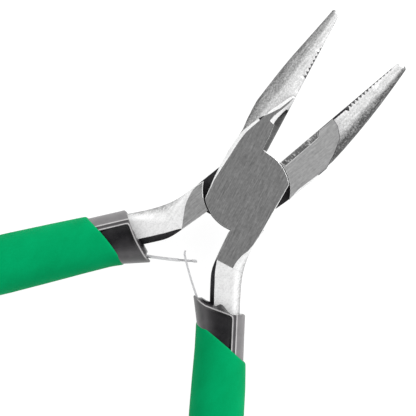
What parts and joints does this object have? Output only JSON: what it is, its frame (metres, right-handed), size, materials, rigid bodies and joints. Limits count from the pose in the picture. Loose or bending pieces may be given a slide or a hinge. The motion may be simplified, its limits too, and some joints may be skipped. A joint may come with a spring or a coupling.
{
  "type": "sprung combination pliers",
  "caption": "Small long-nose combination pliers with side cutters, a lap joint, crossed leaf springs, moulded collars and soft sleeves.",
  "frame": {"origin": "on the pivot axis, in the ground front face of the joint", "axes": "+X to the jaw tips, midway between the open jaws; +Y to the front half's jaw; +Z out of the ground front face"},
  "size_m": [0.1207, 0.0941, 0.012],
  "materials": {
    "satin_steel": "forged steel, joint faces ground, jaws and arms blasted to a pale satin",
    "rivet_steel": "turned steel, ground flush",
    "spring_steel": "bright rolled spring strip",
    "collar_plastic": "glossy charcoal moulded plastic",
    "soft_green": "matt green soft foamed rubber"
  },
  "bodies": {
    "front_side": {"front_half": "satin_steel", "pivot_rivet": "rivet_steel", "front_collar": "collar_plastic", "front_sleeve": "soft_green", "front_spring_foot": "spring_steel", "front_spring_rivet": "rivet_steel"},
    "rear_side": {"rear_half": "satin_steel", "rear_collar": "collar_plastic", "rear_sleeve": "soft_green", "rear_spring_foot": "spring_steel", "rear_spring_rivet": "rivet_steel"},
    "slotted_leaf": {"slotted_leaf_spring": "spring_steel"},
    "tongue_leaf": {"tongue_leaf_spring": "spring_steel"}
  },
  "joints": [
    {"name": "jaw_pivot", "type": "hinge", "parent": "front_side", "child": "rear_side", "pos_m": [0, 0, -0.0042], "axis": [0, 0, 1], "range_deg": [-6, 21.75], "stiffness_Nm_per_rad": 0.8},
    {"name": "slotted_leaf_bend", "type": "hinge", "parent": "front_side", "child": "slotted_leaf", "pos_m": [-0.02326, -0.00624, -0.0042], "axis": [0, 0, 1], "range_deg": [-29, 8.5]},
    {"name": "tongue_leaf_bend", "type": "hinge", "parent": "rear_side", "child": "tongue_leaf", "pos_m": [-0.02295, 0.00756, -0.0042], "axis": [0, 0, 1], "range_deg": [-9, 31]}
  ],
  "couplings": [
    {"joint": "slotted_leaf_bend", "follows": "jaw_pivot", "ratio": -1.3},
    {"joint": "tongue_leaf_bend", "follows": "jaw_pivot", "ratio": 1.384}
  ]
}
